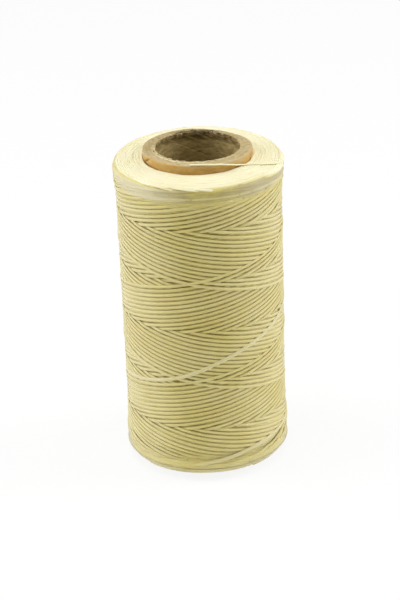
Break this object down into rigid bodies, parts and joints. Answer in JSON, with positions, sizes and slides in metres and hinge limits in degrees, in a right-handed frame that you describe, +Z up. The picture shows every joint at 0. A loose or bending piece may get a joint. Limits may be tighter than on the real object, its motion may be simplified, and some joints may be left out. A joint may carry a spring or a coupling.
{
  "type": "waxed thread spool",
  "caption": "Cylindrical spool of cross-wound waxed sewing thread on a multi-ply paper tube with an open bore, its loose end lying on the tube's rim.",
  "frame": {"origin": "centre of the tube's lower end face, which is the face the spool stands on", "axes": "+Z up the tube's axis; -Y is the front, where the loose end lies on the rim"},
  "size_m": [0.0566, 0.055, 0.1107],
  "materials": {
    "liner_paper": "matte",
    "core_board": "matte",
    "kraft_paper": "matte",
    "waxed_thread": "satin"
  },
  "bodies": {
    "root": {"core_inner_liner": "liner_paper", "core_ply_1": "core_board", "core_ply_2": "core_board", "core_ply_3": "core_board", "core_ply_4": "core_board", "core_ply_5": "core_board", "core_kraft_wrap": "kraft_paper", "thread_pack": "waxed_thread", "thread_outer_turns": "waxed_thread", "thread_tail": "waxed_thread"}
  },
  "joints": []
}
